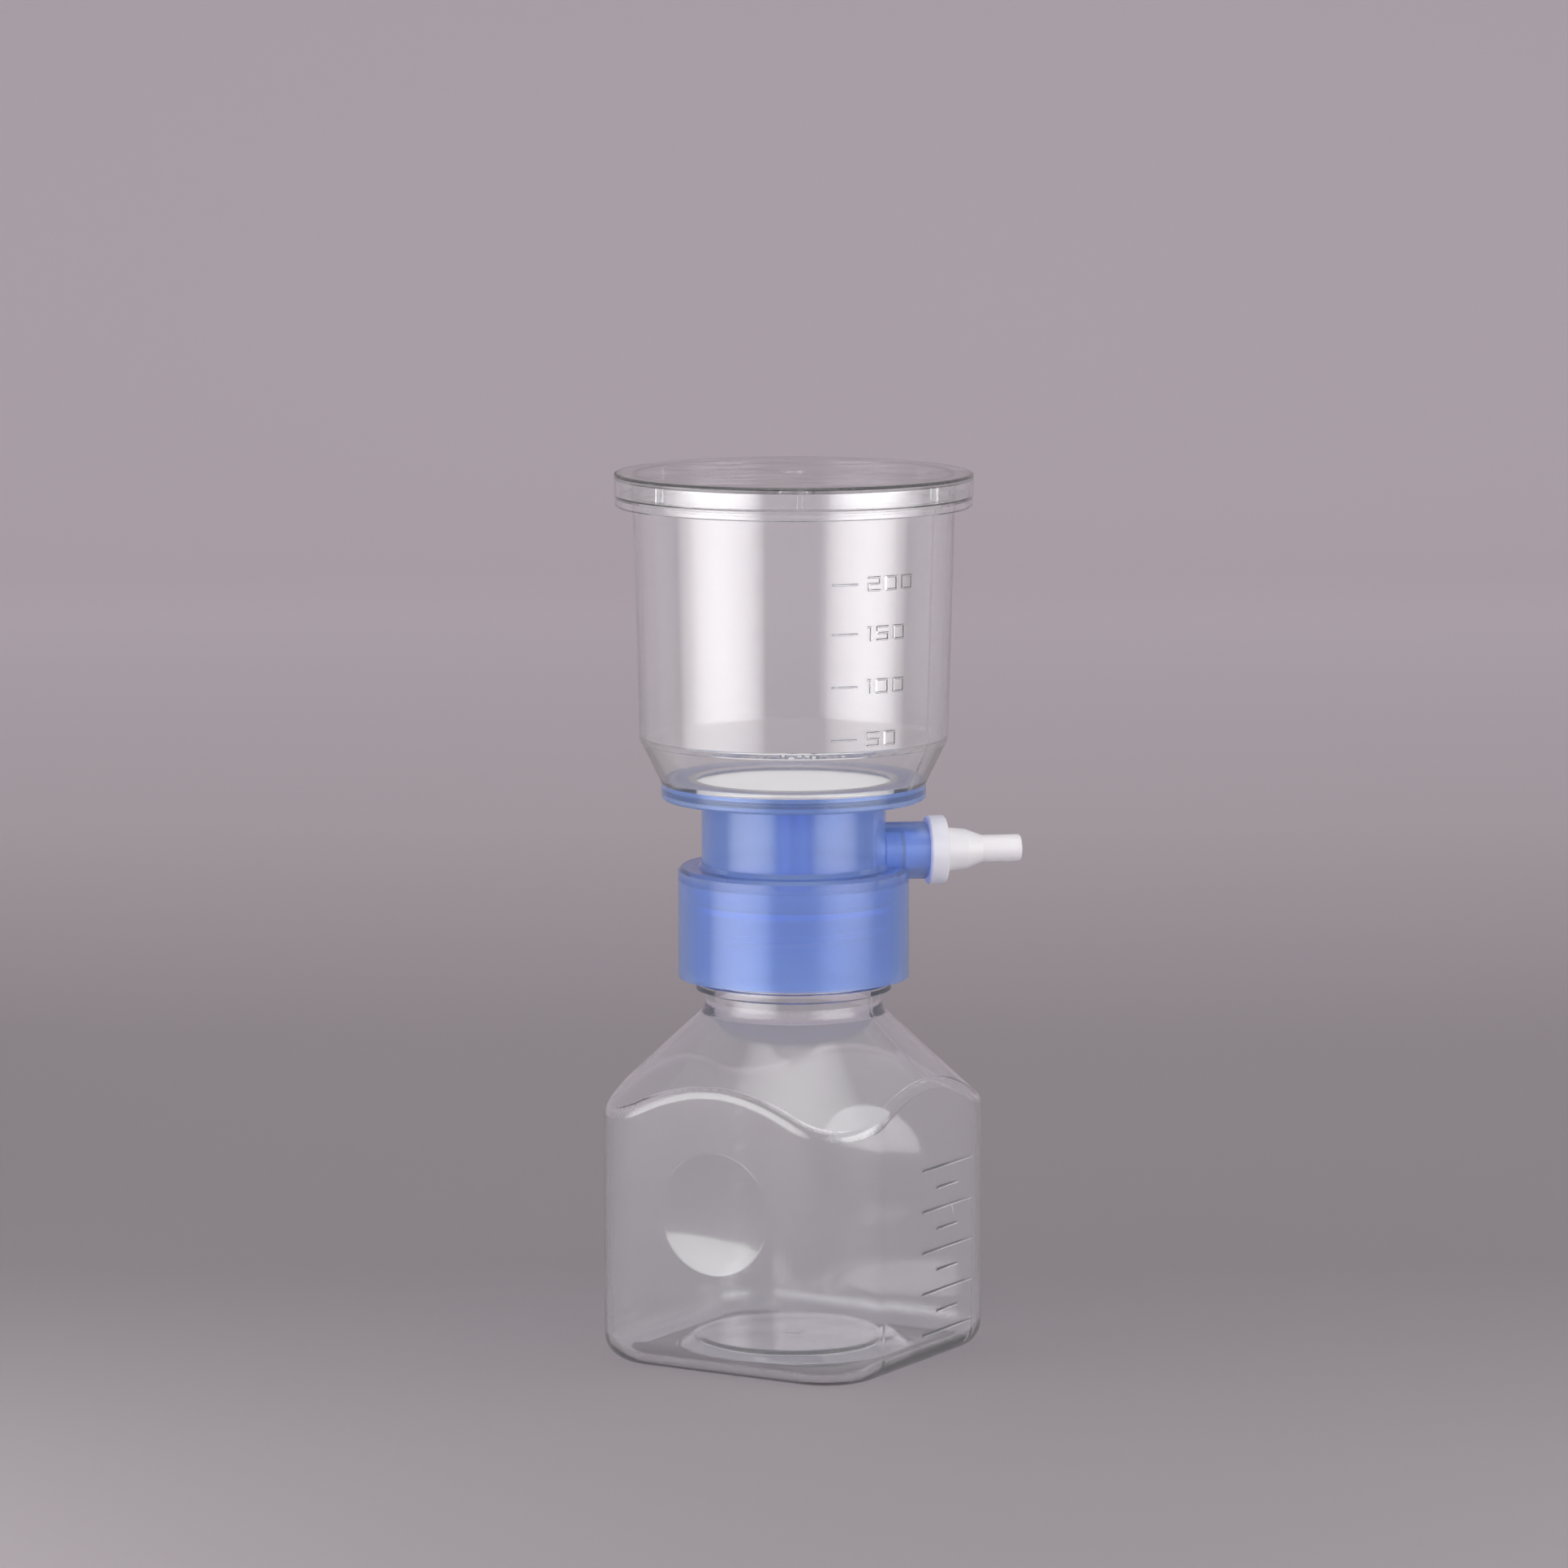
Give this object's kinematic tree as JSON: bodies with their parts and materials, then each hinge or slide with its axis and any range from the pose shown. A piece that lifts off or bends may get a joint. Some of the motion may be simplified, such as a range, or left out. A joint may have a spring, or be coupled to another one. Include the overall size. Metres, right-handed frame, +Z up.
{
  "type": "vacuum filtration unit",
  "caption": "Vacuum filtration unit: clear graduated cup with loose lid on a blue filter base with side hose nozzle, screwed on a clear square receiver bottle.",
  "frame": {"origin": "centre of the receiver bottle's base, on the surface that it stands on", "axes": "+Z up along the common axis of bottle, filter base and cup; the bottle's flat sides face +X, -X, +Y and -Y, and its thumb dimples face +Y and -Y; the side port points 40 degrees from +X towards +Y"},
  "size_m": [0.0863, 0.085, 0.2113],
  "materials": {
    "clear_plastic": "clear, glossy",
    "bottle_plastic": "clear, glossy, blown",
    "blue_plastic": "translucent blue, glossy",
    "natural_plastic": "translucent white, satin",
    "filter_film": "white, matt",
    "cotton": "white fibres",
    "foam": "white, soft, matt"
  },
  "bodies": {
    "receiver": {"receiver_bottle": "bottle_plastic"},
    "seal": {"neck_gasket": "foam"},
    "filter_unit": {"filter_base": "blue_plastic", "membrane": "filter_film", "port_plug": "cotton", "filter_cup": "clear_plastic"},
    "cover": {"lid": "clear_plastic"},
    "nozzle": {"hose_nozzle": "natural_plastic"}
  },
  "joints": [
    {"name": "unit_rise", "type": "slide", "parent": "receiver", "child": "seal", "axis": [0, 0, 1], "range_m": [0, 0.0075]},
    {"name": "unit_unscrew", "type": "hinge", "parent": "seal", "child": "filter_unit", "pos_m": [0, 0, 0.0993], "axis": [0, 0, 1], "range_deg": [0, 540]},
    {"name": "lid_lift", "type": "slide", "parent": "filter_unit", "child": "cover", "axis": [0, 0, 1], "range_m": [0, 0.06]},
    {"name": "nozzle_pull", "type": "slide", "parent": "filter_unit", "child": "nozzle", "axis": [0.766, 0.6428, 0], "range_m": [0, 0.03]}
  ],
  "couplings": [
    {"joint": "unit_rise", "follows": "unit_unscrew", "m_per_rad": 0.00079577}
  ]
}
